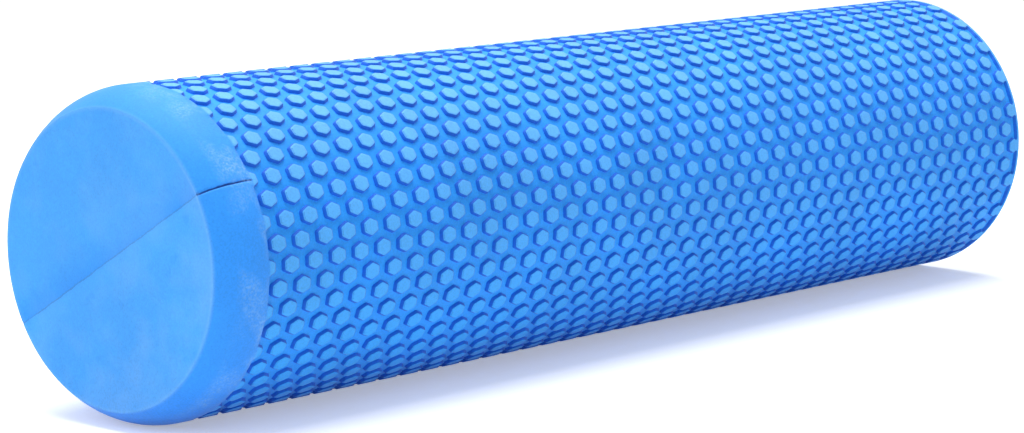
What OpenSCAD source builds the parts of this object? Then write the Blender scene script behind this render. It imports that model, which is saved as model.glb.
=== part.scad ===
// Foam roller for massage and stretching: a solid cylinder of light closed-cell foam, made as two moulded
// half cylinders glued face to face on a plane through the axis. One end has a rounded moulded shoulder,
// and the other is cut square.
//
// The roller lies on its side along X, with the rounded end towards -X. Z = 0 is the floor that it lies
// on, and the origin is under the middle of its length. The halves are drawn out to the dots' tops.

/* [Roller] */
// Overall length, end face to end face
roller_length = 600; // [300:10:900]
// Diameter over the tops of the dots
roller_diameter = 150; // [140:1:176]

/* [Shoulder] */
// Diameter of the flat end face inside the rounded shoulder
face_diameter = 133; // [110:1:138]
// Length of the shoulder along the axis
shoulder_length = 22; // [12:1:40]

/* [Glue joint] */
// Thickness of the glue film between the two halves
glue_thickness = 0.1; // [0.05:0.05:0.5]
// Distance from the foam's surface to the edge of the film
glue_inset = 1; // [0.5:0.5:5]
// Turn of the glue plane about the axis, up from level on the -Y side
glue_turn = 31; // [0:1:90]

/* [Hidden] */
roller_radius = roller_diameter / 2;
face_radius = face_diameter / 2;
shoulder_drop = roller_radius - face_radius;
// Radius of the shoulder's arc, which meets the round side smoothly and the end face at a crisp edge
shoulder_radius = (shoulder_length * shoulder_length + shoulder_drop * shoulder_drop) / (2 * shoulder_drop);
shoulder_start = shoulder_length - roller_length / 2;
cut_size = 2 * roller_length;
$fn = 96;

// Half of the lengthwise section, drawn the inset within the foam's surface: radius along X, distance from
// the middle along Y
module half_section(inset) {
    end = roller_length / 2 - inset;
    translate([0, shoulder_start]) square([roller_radius - inset, end - shoulder_start]);
    translate([0, -end]) square([face_radius - inset, 2 * end]);
    intersection() {
        translate([0, -end]) square([roller_radius - inset, 2 * end]);
        translate([roller_radius - shoulder_radius, shoulder_start]) circle(r = shoulder_radius - inset);
    }
}

// The whole round body, with its axis along X and centred on the origin
module round_body(inset = 0) {
    rotate([0, 90, 0]) rotate_extrude() half_section(inset);
}

// Places a body, drawn about its own axis with the glue plane level, where the roller lies
module in_place() {
    translate([0, 0, roller_radius]) rotate([-glue_turn, 0, 0]) children();
}

// Everything above the film's upper face
module above_film() {
    translate([-cut_size / 2, -cut_size / 2, glue_thickness / 2]) cube(cut_size);
}

module upper_half() {
    color("cornflowerblue") in_place() intersection() {
        round_body();
        above_film();
    }
}

module lower_half() {
    color("dodgerblue") in_place() intersection() {
        round_body();
        mirror([0, 0, 1]) above_film();
    }
}

// The film covers the halves' flat faces out to the inset, so its outline follows their rounded ends
module glue_film() {
    color("royalblue") in_place() intersection() {
        round_body(glue_inset);
        cube([cut_size, cut_size, glue_thickness], center = true);
    }
}

upper_half();
lower_half();
glue_film();
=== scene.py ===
from math import asin, atan2, ceil, cos, exp, hypot, pi, radians, sin, sqrt

import bmesh
import bpy
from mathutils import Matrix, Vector


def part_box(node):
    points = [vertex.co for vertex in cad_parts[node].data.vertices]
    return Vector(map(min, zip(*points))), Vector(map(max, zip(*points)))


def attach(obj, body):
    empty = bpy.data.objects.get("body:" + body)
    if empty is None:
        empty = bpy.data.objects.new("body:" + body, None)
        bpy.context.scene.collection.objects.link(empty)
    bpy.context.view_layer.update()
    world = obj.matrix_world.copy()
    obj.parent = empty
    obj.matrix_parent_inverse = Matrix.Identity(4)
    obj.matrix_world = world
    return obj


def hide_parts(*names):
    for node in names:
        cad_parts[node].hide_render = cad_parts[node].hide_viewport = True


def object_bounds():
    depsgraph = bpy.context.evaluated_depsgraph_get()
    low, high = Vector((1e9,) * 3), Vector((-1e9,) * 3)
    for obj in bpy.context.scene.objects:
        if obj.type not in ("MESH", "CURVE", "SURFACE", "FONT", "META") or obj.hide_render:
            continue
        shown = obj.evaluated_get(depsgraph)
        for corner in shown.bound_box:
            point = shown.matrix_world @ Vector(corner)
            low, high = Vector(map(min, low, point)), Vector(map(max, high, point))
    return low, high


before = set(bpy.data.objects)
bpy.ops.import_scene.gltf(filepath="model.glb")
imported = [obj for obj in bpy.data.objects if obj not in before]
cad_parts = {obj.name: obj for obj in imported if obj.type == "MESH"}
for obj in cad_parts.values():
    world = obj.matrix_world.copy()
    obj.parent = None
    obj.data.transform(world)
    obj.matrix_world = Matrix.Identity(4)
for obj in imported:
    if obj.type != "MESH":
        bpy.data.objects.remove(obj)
cad_low, cad_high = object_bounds()


# ---- Moulded skin of the foam ----
# The round side of the roller: closed-cell foam with raised six-sided dots in staggered rows, hot-moulded
# after the two halves are glued, so that the pattern runs across the joint. At one end a smooth band runs
# over a rounded shoulder to the flat end face; the other end is cut square, close to the last dots.

mm = 0.001
hair = 0.001 * mm          # nearer than this counts as the same place
weld = 0.01 * mm           # corners nearer than this are merged, and radii this close are the same
cut_tolerance = 1e-7       # corners nearer to a cutting plane than this, in metres, lie on it
length = cad_high.x - cad_low.x
radius = (cad_high.z - cad_low.z) / 2
axis_height = cad_low.z + radius
half_length = length / 2

row_count = 48
row_pitch = 2 * pi * radius / row_count
dot_pitch = 14.1 * mm
relief = 1.6 * mm
dot_foot_part = 0.72       # width of a dot at its foot, as a part of its cell
dot_top_part = 0.62        # and at its top
corner_cut = 0.45 * mm     # rounding of a dot's six corners
rim_cut = 0.35 * mm        # rounding of the edge of its top
dish_rim = 1.5 * mm        # flat rim round the shallow dish in its top
dish_depth = 0.2 * mm

band_length = 26 * mm      # rounded end's face to the first dots
first_dot_lead = 1.8 * mm  # the first dots' middles lie this far inside the band, which cuts them off
ramp_length = 1.5 * mm     # slope from the ground between the dots up to the band
rim_length = 1.2 * mm      # plain rim left round the far end
shoulder_length = 22 * mm
face_radius = 66.5 * mm
shoulder_steps = 9
face_ring_gap = 5 * mm
edge_ring_gap = 0.5 * mm

row_turn = radians(34.0)   # turn of the first row above level, on the -Y side, halfway along
row_drift = radians(5.75)  # how far the rows wind round the roller between its ends


def parts_of(kind, geometry):
    return [part for part in geometry if isinstance(part, kind)]


def repeat(bm, geometry, shifts):
    """Copies the geometry once for each shift."""
    for shift in shifts:
        copy = bmesh.ops.duplicate(bm, geom=geometry)["geom"]
        bmesh.ops.translate(bm, verts=parts_of(bmesh.types.BMVert, copy), vec=shift)


def everything(bm):
    return bm.verts[:] + bm.edges[:] + bm.faces[:]


def top_face(bm):
    return max(bm.faces, key=lambda face: face.calc_center_median().z)


def settled(bm):
    """Hands over a fresh copy: cuts and merges leave gaps, which refill in an order that varies by run."""
    fresh = bm.copy()
    bm.free()
    return fresh


# One dot on its six-sided patch of ground, laid flat: X along the roller, Y round it, Z = 0 at the dot's top
cell_corner = row_pitch / 1.5
cell_width = sqrt(3) * cell_corner
skin = bmesh.new()
bmesh.ops.create_circle(skin, cap_ends=True, segments=6, radius=cell_corner)
if skin.faces[:][0].normal.z < 0:
    bmesh.ops.reverse_faces(skin, faces=skin.faces[:])
bmesh.ops.translate(skin, verts=skin.verts[:], vec=(0, 0, -relief))
bmesh.ops.inset_individual(
    skin, faces=skin.faces[:], thickness=cell_width * (1 - dot_foot_part) / 2, use_even_offset=True,
)
draft = cell_width * (dot_foot_part - dot_top_part) / 2
foot = min(skin.faces, key=lambda face: face.calc_center_median().length_squared)
bmesh.ops.inset_individual(skin, faces=[foot], thickness=draft, depth=relief, use_even_offset=True)
corners = [e for e in skin.edges if abs(e.verts[0].co.z - e.verts[1].co.z) > relief / 2]
bmesh.ops.bevel(
    skin, geom=corners, offset=corner_cut, offset_type="OFFSET", segments=1, profile=0.5,
    affect="EDGES", material=-1,
)
skin = settled(skin)
bmesh.ops.bevel(
    skin, geom=top_face(skin).edges[:], offset=rim_cut, offset_type="OFFSET", segments=1, profile=0.5,
    affect="EDGES", material=-1,
)
skin = settled(skin)
for depth in (0, -dish_depth):
    bmesh.ops.inset_individual(
        skin, faces=[top_face(skin)], thickness=dish_rim / 2, depth=depth, use_even_offset=True,
    )

# The whole field of dots, flat, then drawn out along the roller to the real spacing
column_count = ceil((length - band_length) / dot_pitch) + 3
repeat(skin, everything(skin), [(k * cell_width, 0, 0) for k in range(1, column_count)])
repeat(
    skin, everything(skin),
    [(k % 2 * cell_width / 2, k * row_pitch, 0) for k in range(1, row_count)],
)
bmesh.ops.remove_doubles(skin, verts=skin.verts[:], dist=weld)
skin = settled(skin)
bmesh.ops.scale(skin, verts=skin.verts[:], vec=(dot_pitch / cell_width, 1, 1))
first_dot = -half_length + band_length - first_dot_lead
bmesh.ops.translate(skin, verts=skin.verts[:], vec=(first_dot - dot_pitch, 0, 0))

# The field ends in a straight cut at the band and at the far end's rim
band_edge = band_length - half_length
far_edge = half_length - rim_length - ramp_length
for x, outward in ((band_edge, -1), (far_edge, 1)):
    bmesh.ops.bisect_plane(
        skin, geom=everything(skin), dist=cut_tolerance, plane_co=(x, 0, 0), plane_no=(outward, 0, 0),
        clear_outer=True,
    )
    skin = settled(skin)


def open_ring(bm, x):
    return [e for e in bm.edges if e.is_boundary and all(abs(v.co.x - x) < hair for v in e.verts)]


def draw_out(bm, edges, x, height):
    """Draws a ring of edges out to a new ring at x, at that height over the dots' tops."""
    made = bmesh.ops.extrude_edge_only(bm, edges=edges)["geom"]
    vertices = set(parts_of(bmesh.types.BMVert, made))
    for vertex in vertices:
        vertex.co.x = x
        vertex.co.z = height
    return [e for e in parts_of(bmesh.types.BMEdge, made) if all(v in vertices for v in e.verts)]


# The ground ramps up to the band, which runs over the shoulder to a crisp rim
face_drop = radius - face_radius
shoulder_radius = (shoulder_length ** 2 + face_drop ** 2) / (2 * face_drop)
shoulder_angle = asin(shoulder_length / shoulder_radius)
shoulder_turns = [shoulder_angle * k / shoulder_steps for k in range(shoulder_steps + 1)]
shoulder_turns.insert(-1, shoulder_angle - edge_ring_gap / shoulder_radius)
ring = draw_out(skin, open_ring(skin, band_edge), band_edge - ramp_length, 0)
for turn in shoulder_turns:
    x = half_length - shoulder_length + shoulder_radius * sin(turn)
    ring = draw_out(skin, ring, -x, shoulder_radius * (cos(turn) - 1))

far_ring = draw_out(skin, open_ring(skin, far_edge), half_length - rim_length, 0)
far_ring = draw_out(skin, far_ring, half_length, 0)

# Each end face closes in rings to its middle
for ring, x, rim_radius in ((ring, -half_length, face_radius), (far_ring, half_length, radius)):
    ring_count = int(rim_radius / face_ring_gap)
    rings = [rim_radius - edge_ring_gap]
    rings += [rim_radius * (1 - k / ring_count) for k in range(1, ring_count + 1)]
    for ring_radius in rings:
        ring = draw_out(skin, ring, x, ring_radius - radius)

# Rolled up round the axis, and closed along the last row
for vertex in skin.verts:
    x, y, z = vertex.co
    turn = row_turn + row_drift * x / length - y / radius
    vertex.co = (x, -(radius + z) * cos(turn), axis_height + (radius + z) * sin(turn))
bmesh.ops.remove_doubles(skin, verts=skin.verts[:], dist=weld)
skin = settled(skin)
bmesh.ops.dissolve_degenerate(skin, edges=skin.edges[:], dist=cut_tolerance)
skin = settled(skin)


# ---- The two halves and the glue joint ----
# The roller is two half cylinders of the same foam, brushed with contact adhesive on their flat faces and
# pressed together. The joint shows as a fine line across each end face, in a shallow valley where the
# halves' moulded faces round off, and as a slightly open crack over the shoulder.

film_low, film_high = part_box("glue_film")
glue_turn = atan2(film_high.z - film_low.z, film_high.y - film_low.y)
glue_normal = Vector((0, sin(glue_turn), cos(glue_turn)))
axis_point = Vector((0, 0, axis_height))
joint_gap = 0.015 * mm

valley_depth = 1.2 * mm
upper_valley_width = 13 * mm   # the upper half's face rounds off gently, the lower half's more tightly
lower_valley_width = 5 * mm
crack_depth = 1.1 * mm
crack_width = 0.45 * mm
face_line_depth = 0.15 * mm
face_line_width = 0.4 * mm
cut_line_part = 0.5            # the line's depth on the square-cut end, as a part of that
valley_fade = 4 * mm           # the valley fades out over this length, towards the rim of the face
crack_fade = 6 * mm            # and the crack over this one, towards the dots
strip_offsets = (0.25, 0.6, 1.1, 2.2, 4.0)   # millimetres from the joint
sharp_angle = radians(62)      # edges that turn more than this are crisp

# Fine strips of faces beside the joint, on the band and the end faces only, carry the line and the crack
flat_end = half_length - hair
for offset in strip_offsets:
    for side in (-1, 1):
        ends = [f for f in skin.faces if not band_edge - ramp_length < f.calc_center_median().x < flat_end]
        near = list(dict.fromkeys(part for f in ends for part in (*f.verts, *f.edges, f)))
        bmesh.ops.bisect_plane(
            skin, geom=near, dist=cut_tolerance, plane_co=axis_point + glue_normal * side * offset * mm,
            plane_no=glue_normal,
        )

for vertex in skin.verts:
    above = (vertex.co - axis_point).dot(glue_normal)
    away = abs(above)
    reach = hypot(vertex.co.y, vertex.co.z - axis_height)
    line = face_line_depth * exp(-((away / face_line_width) ** 2))
    if vertex.co.x > flat_end:
        vertex.co.x -= line * cut_line_part
    if vertex.co.x > band_edge - ramp_length * 0.99:
        continue
    if reach < face_radius + weld:
        rim_fade = min(1, (face_radius - reach) / valley_fade)
        valley_width = upper_valley_width if above > 0 else lower_valley_width
        vertex.co.x += line + valley_depth * exp(-((away / valley_width) ** 2)) * rim_fade
    if reach > face_radius - weld:
        fade = min(1, (band_edge - vertex.co.x) / crack_fade)
        dip = crack_depth * fade * exp(-((away / crack_width) ** 2))
        inward = (axis_point - vertex.co) * Vector((0, 1, 1))
        vertex.co += inward.normalized() * dip

halves = []
for name, side in (("upper_foam", 1), ("lower_foam", -1)):
    half = skin.copy()
    bmesh.ops.bisect_plane(
        half, geom=everything(half), dist=cut_tolerance, plane_co=axis_point + glue_normal * side * joint_gap,
        plane_no=glue_normal * side, clear_inner=True,
    )
    half = settled(half)
    rim = [e for e in half.edges if e.is_boundary]
    bmesh.ops.holes_fill(half, edges=rim)
    bmesh.ops.recalc_face_normals(half, faces=half.faces[:])
    mesh = bpy.data.meshes.new(name)
    half.to_mesh(mesh)
    half.free()
    mesh.shade_smooth()
    mesh.set_sharp_from_angle(angle=sharp_angle)
    piece = bpy.data.objects.new(name, mesh)
    bpy.context.collection.objects.link(piece)
    halves.append(piece)
skin.free()

for piece, node in zip(halves, ("upper_half", "lower_half")):
    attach(piece, "root")
    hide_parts(node)


# ---- Foam colour and grain ----
# The foam is coloured through. Its moulded tops and ends are a lighter, duller skin, and the ground between
# the dots is deeper blue. Painted shade darkens the flanks of the dots, the joint's crack and the upper
# half's end faces beside the joint. Painted light makes the dots' tops paler high on the roller, and a
# painted highlight runs round the rim of the face. Fine cells show as grain, and handling leaves pale scuffs.

ground_blue = (0.014, 0.315, 0.960, 1)
# painted shade for the flanks of the dots
flank_shade_blue = (0.000, 0.120, 0.640, 1)
shaded_top_blue = (0.022, 0.375, 0.980, 1)   # painted shade: tops of the dots, low down
lit_top_blue = (0.120, 0.430, 0.920, 1)   # and painted light: tops of the dots high up, paler where the light falls
band_blue = (0.028, 0.295, 0.930, 1)
face_blue = (0.045, 0.340, 0.920, 1)
cut_blue = (0.030, 0.270, 0.820, 1)
# painted shade beside the joint, and also the colour of the dull smudges
shade_and_smudge_blue = (0.020, 0.270, 0.850, 1)
valley_shade_part = 0.8            # painted shade: how far the upper half's end faces go towards it, right beside the joint
# painted shade in the joint's crack
crack_shade_blue = (0.001, 0.040, 0.260, 1)
# pale scuffs and marks, and the painted highlight round the rim of the face
scuff_and_highlight_blue = (0.260, 0.520, 0.900, 1)


def start_material(name):
    material = bpy.data.materials.new(name)
    material.use_nodes = True
    tree = material.node_tree
    return material, tree, tree.nodes["Principled BSDF"]


def add(tree, kind, settings=(), **sockets):
    """Adds a node. Sockets take a value or another node's output; settings are the node's own fields."""
    made = tree.nodes.new(kind)
    for field, value in dict(settings).items():
        setattr(made, field, value)
    for name, value in sockets.items():
        socket = made.inputs[int(name[1:])] if name[0] == "_" else made.inputs[name.replace("_", " ")]
        if isinstance(value, bpy.types.NodeSocket):
            tree.links.new(value, socket)
        else:
            socket.default_value = value
    return made


def measure(tree, value, low, high, into=(0, 1)):
    """Turns value from low to high into the range given, held at its ends."""
    return add(
        tree, "ShaderNodeMapRange", Value=value, From_Min=low, From_Max=high, To_Min=into[0], To_Max=into[1],
    ).outputs["Result"]


def product(tree, first, second):
    return add(tree, "ShaderNodeMath", {"operation": "MULTIPLY"}, _0=first, _1=second).outputs[0]


def blend(tree, factor, first, second):
    made = add(tree, "ShaderNodeMix", {"data_type": "RGBA"}, Factor=factor)
    for socket, value in zip((made.inputs[6], made.inputs[7]), (first, second)):
        if isinstance(value, bpy.types.NodeSocket):
            tree.links.new(value, socket)
        else:
            socket.default_value = value
    return made.outputs[2]


# The cells, clouds, scuffs and brush marks are one kind of noise at different sizes, kept as a node group
grain_group = bpy.data.node_groups.new("grain", "ShaderNodeTree")
for name, way, kind in (
    ("Place", "INPUT", "NodeSocketVector"),
    ("Size", "INPUT", "NodeSocketFloat"),
    ("Detail", "INPUT", "NodeSocketFloat"),
    ("Grain", "OUTPUT", "NodeSocketFloat"),
):
    grain_group.interface.new_socket(name=name, in_out=way, socket_type=kind)
given = grain_group.nodes.new("NodeGroupInput").outputs
scale = add(grain_group, "ShaderNodeMath", {"operation": "DIVIDE"}, _0=1.0, _1=given["Size"]).outputs[0]
noise = add(
    grain_group, "ShaderNodeTexNoise", Vector=given["Place"], Scale=scale, Detail=given["Detail"],
    Roughness=0.55,
).outputs["Fac"]
grain_group.links.new(noise, grain_group.nodes.new("NodeGroupOutput").inputs["Grain"])


def grain(tree, place, size, detail=2.0):
    """Noise with features about as large as size, from 0 to 1."""
    return add(
        tree, "ShaderNodeGroup", {"node_tree": grain_group}, Place=place, Size=size, Detail=detail,
    ).outputs["Grain"]


foam, tree, shader = start_material("moulded_blue_foam")
place = add(
    tree, "ShaderNodeMapping", Vector=add(tree, "ShaderNodeTexCoord").outputs["Object"],
    Location=(0, 0, -axis_height),
).outputs["Vector"]
across = add(tree, "ShaderNodeVectorMath", {"operation": "MULTIPLY"}, _0=place, _1=(0, 1, 1)).outputs[0]
reach = add(tree, "ShaderNodeVectorMath", {"operation": "LENGTH"}, _0=across).outputs["Value"]
along = add(tree, "ShaderNodeSeparateXYZ", Vector=place).outputs["X"]

# Where the surface is: up the flank of a dot, on the smooth band, on the cut end
climb = measure(tree, reach, radius - relief, radius)
on_flank = product(tree, measure(tree, climb, 0.02, 0.12), measure(tree, climb, 0.98, 0.88))
on_top = measure(tree, climb, 0.85, 0.92)
on_band = measure(tree, along, band_edge - 0.2 * mm, band_edge - ramp_length)
on_face = measure(tree, reach, face_radius + 0.4 * mm, face_radius - 0.4 * mm)
on_cut = measure(tree, along, half_length - 0.3 * mm, half_length - 0.2 * mm)

# Painted light and shade: the dots' tops are paler high on the roller, where light falls, and deeper low down
height = add(tree, "ShaderNodeSeparateXYZ", Vector=place).outputs["Z"]
lit_from_above = measure(tree, height, -0.6 * radius, 0.9 * radius)
colour = blend(tree, on_top, ground_blue, blend(tree, lit_from_above, shaded_top_blue, lit_top_blue))
# Painted shade: the flanks of the dots are darker, as where shade falls between them
colour = blend(tree, on_flank, colour, flank_shade_blue)
end_colour = blend(tree, on_face, band_blue, face_blue)
colour = blend(tree, on_band, colour, end_colour)
colour = blend(tree, on_cut, colour, cut_blue)

# The joint's crack, a little wandering, with painted shade in it: dark over the shoulder, faint across the
# end faces
wander = measure(tree, grain(tree, place, 6 * mm), 0.3, 0.7, (-0.3 * mm, 0.3 * mm))
plane_height = add(
    tree, "ShaderNodeVectorMath", {"operation": "DOT_PRODUCT"}, _0=place, _1=tuple(glue_normal),
).outputs["Value"]
beside = add(tree, "ShaderNodeMath", {"operation": "ADD"}, _0=plane_height, _1=wander).outputs[0]
beside = add(tree, "ShaderNodeMath", {"operation": "ABSOLUTE"}, _0=beside).outputs[0]
line = measure(tree, beside, 0.55 * mm, 0.25 * mm)
on_ends = add(tree, "ShaderNodeMath", {"operation": "MAXIMUM"}, _0=on_band, _1=on_cut).outputs[0]
crack_part = measure(tree, on_face, 0, 1, (0.9, 0.36))
line = product(tree, product(tree, line, on_ends), crack_part)
colour = blend(tree, line, colour, crack_shade_blue)

# Painted shade: the upper half's end faces are darker towards the joint, where they round off into the valley
valley_shade = product(
    tree, measure(tree, plane_height, 15 * mm, 1 * mm), measure(tree, plane_height, 0, 0.5 * mm),
)
colour = blend(tree, product(tree, product(tree, valley_shade, on_face), valley_shade_part), colour, shade_and_smudge_blue)

# The moulded end: a painted highlight round the rim of the face, broad pale marks of handling, made stronger
# low on the face as painted light, and a few dull smudges on the face
# Painted highlight along the rim of the face
rim = product(
    tree, measure(tree, reach, face_radius - 1.8 * mm, face_radius - 0.3 * mm),
    measure(tree, reach, face_radius + 0.9 * mm, face_radius + 0.1 * mm),
)
colour = blend(tree, product(tree, product(tree, rim, on_band), 0.18), colour, scuff_and_highlight_blue)
skin_end = product(tree, on_face, on_band)
marks = product(tree, measure(tree, grain(tree, place, 26 * mm, 4.0), 0.42, 0.66), skin_end)
lower_face_light = measure(tree, plane_height, 0, -50 * mm, (0.12, 0.23))   # painted light: the marks show stronger low on the face, where more light falls
colour = blend(tree, product(tree, marks, lower_face_light), colour, scuff_and_highlight_blue)
smudges = product(tree, measure(tree, grain(tree, place, 11 * mm, 3.0), 0.66, 0.74), skin_end)
colour = blend(tree, product(tree, smudges, 0.4), colour, shade_and_smudge_blue)

# Soft clouds of colour, and the fine grain of the cells
clouds = measure(tree, grain(tree, place, 45 * mm, 3.0), 0.35, 0.65)
cells = grain(tree, place, 0.9 * mm, 3.0)
speckle = measure(tree, cells, 0.30, 0.70, (0.90, 1.10))
shade = product(tree, speckle, measure(tree, clouds, 0, 1, (0.94, 1.05)))
tint = add(tree, "ShaderNodeVectorMath", {"operation": "SCALE"}, _0=colour, Scale=shade).outputs[0]

# Scuffs: pale speckled rubs where the crest of the band meets the floor and the hand
crest = product(
    tree, measure(tree, along, band_edge + 1 * mm, band_edge - 2 * mm),
    measure(tree, reach, radius - 3 * mm, radius - 0.6 * mm),
)
patches = measure(tree, grain(tree, place, 19 * mm, 3.0), 0.48, 0.64)
flecks = measure(tree, grain(tree, place, 1.1 * mm, 3.0), 0.42, 0.66, (0.15, 1))
rubbed = product(tree, product(tree, crest, patches), flecks)
tint = blend(tree, product(tree, rubbed, 0.6), tint, scuff_and_highlight_blue)
tree.links.new(tint, shader.inputs["Base Color"])

sheen_patches = measure(tree, clouds, 0, 1, (0.50, 0.60))
roughness = add(
    tree, "ShaderNodeMath", {"operation": "ADD"}, _0=sheen_patches, _1=product(tree, rubbed, 0.2),
).outputs[0]
tree.links.new(roughness, shader.inputs["Roughness"])
shader.inputs["Specular IOR Level"].default_value = 0.2
shader.inputs["Sheen Weight"].default_value = 0.14
shader.inputs["Sheen Roughness"].default_value = 0.5

# Relief too fine to model: cells and soft unevenness all over, and opened cells on the cut end
pits = product(tree, measure(tree, grain(tree, place, 1.8 * mm, 2.0), 0.35, 0.65), on_cut)
surface = add(
    tree, "ShaderNodeMath", {"operation": "ADD"}, _0=cells, _1=product(tree, grain(tree, place, 5 * mm), 2.0),
).outputs[0]
surface = add(
    tree, "ShaderNodeMath", {"operation": "ADD"}, _0=surface, _1=product(tree, pits, 2.0),
).outputs[0]
bump = add(tree, "ShaderNodeBump", Strength=0.5, Distance=0.12 * mm, Height=surface)
tree.links.new(bump.outputs["Normal"], shader.inputs["Normal"])
for piece in halves:
    piece.data.materials.append(foam)


# ---- Glue film ----
# A thin brushed coat of contact adhesive between the halves, dried to a darker blue rubbery film. Its edge
# lies just under the bottom of the crack over the shoulder and of the line across each end face.

film_inset = 1.7 * mm      # deeper than the dots are high, so that no edge shows between them
film_arc = shoulder_radius - film_inset
film_end = half_length - film_inset
outline = [(half_length - face_line_depth, radius - film_inset)]
for turn in shoulder_turns:
    x = half_length - shoulder_length + film_arc * sin(turn)
    outline.append((-min(x, film_end), radius - shoulder_radius + film_arc * cos(turn)))
outline += [(x, -reach) for x, reach in reversed(outline)]
film_mesh = bmesh.new()
in_plane = glue_normal.cross((1, 0, 0))
corners = [
    film_mesh.verts.new(axis_point + Vector((x, 0, 0)) + in_plane * reach - glue_normal * joint_gap)
    for x, reach in outline
]
sheet = film_mesh.faces.new(corners)
drawn = bmesh.ops.extrude_face_region(film_mesh, geom=[sheet])["geom"]
bmesh.ops.translate(film_mesh, verts=parts_of(bmesh.types.BMVert, drawn), vec=glue_normal * 2 * joint_gap)
bmesh.ops.recalc_face_normals(film_mesh, faces=film_mesh.faces[:])
film_data = bpy.data.meshes.new("glue_line")
film_mesh.to_mesh(film_data)
film_mesh.free()
glue_line = bpy.data.objects.new("glue_line", film_data)
bpy.context.collection.objects.link(glue_line)

glue, tree, shader = start_material("dried_blue_glue")
place = add(tree, "ShaderNodeTexCoord").outputs["Object"]
streaks = add(tree, "ShaderNodeMapping", Vector=place, Scale=(0.15, 1, 1)).outputs["Vector"]
brushed = measure(tree, grain(tree, streaks, 2 * mm, 4.0), 0.3, 0.7)
tree.links.new(
    blend(tree, brushed, (0.015, 0.11, 0.42, 1), (0.03, 0.20, 0.62, 1)), shader.inputs["Base Color"],
)
tree.links.new(measure(tree, brushed, 0, 1, (0.30, 0.45)), shader.inputs["Roughness"])
bump = add(tree, "ShaderNodeBump", Strength=0.4, Distance=0.05 * mm, Height=brushed)
tree.links.new(bump.outputs["Normal"], shader.inputs["Normal"])
film_data.materials.append(glue)
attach(glue_line, "root")
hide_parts("glue_film")


# ---- Floor, light and camera ----
# A white light table under soft daylight from all round, with one large softbox overhead and one low on the
# left. The table's own glow keeps the shadow under the roller pale and short, and lights the roller little.

floor_size = 40
floor_mesh = bmesh.new()
bmesh.ops.create_grid(floor_mesh, x_segments=1, y_segments=1, size=floor_size / 2)
floor_data = bpy.data.meshes.new("floor")
floor_mesh.to_mesh(floor_data)
floor_mesh.free()
floor = bpy.data.objects.new("floor", floor_data)
bpy.context.collection.objects.link(floor)
paper, tree, shader = start_material("white_light_table")
shader.inputs["Base Color"].default_value = (0.86, 0.86, 0.86, 1)
shader.inputs["Roughness"].default_value = 0.9
shader.inputs["Specular IOR Level"].default_value = 0.1
shader.inputs["Emission Color"].default_value = (1, 1, 1, 1)
seen = add(tree, "ShaderNodeLightPath").outputs["Is Camera Ray"]
tree.links.new(measure(tree, seen, 0, 1, (0.10, 0.37)), shader.inputs["Emission Strength"])
floor_data.materials.append(paper)

world = bpy.data.worlds.new("studio")
world.use_nodes = True
world.node_tree.nodes["Background"].inputs["Color"].default_value = (1, 1, 1, 1)
world.node_tree.nodes["Background"].inputs["Strength"].default_value = 0.47
bpy.context.scene.world = world


def softbox(name, place, size, power):
    light = bpy.data.lights.new(name, "AREA")
    light.size = size
    light.energy = power
    lamp = bpy.data.objects.new(name, light)
    lamp.location = place
    lamp.rotation_euler = (axis_point - Vector(place)).to_track_quat("-Z", "Y").to_euler()
    bpy.context.collection.objects.link(lamp)


softbox("overhead_light", (0.0, 0.2, 1.8), 1.8, 45)
softbox("left_light", (-1.8, 0.0, 1.1), 1.4, 9)

aim = Vector((-0.0367, 0, 0.0646))
camera_turn, camera_rise, camera_distance = radians(-48.41), radians(8.57), 1.614
camera_data = bpy.data.cameras.new("camera")
camera_data.lens = 115.5
camera = bpy.data.objects.new("camera", camera_data)
back = Vector((
    sin(camera_turn) * cos(camera_rise), -cos(camera_turn) * cos(camera_rise), sin(camera_rise),
))
camera.location = aim + back * camera_distance
camera.rotation_euler = back.to_track_quat("Z", "Y").to_euler()
bpy.context.collection.objects.link(camera)
bpy.context.scene.camera = camera
bpy.context.scene.view_settings.view_transform = "Standard"
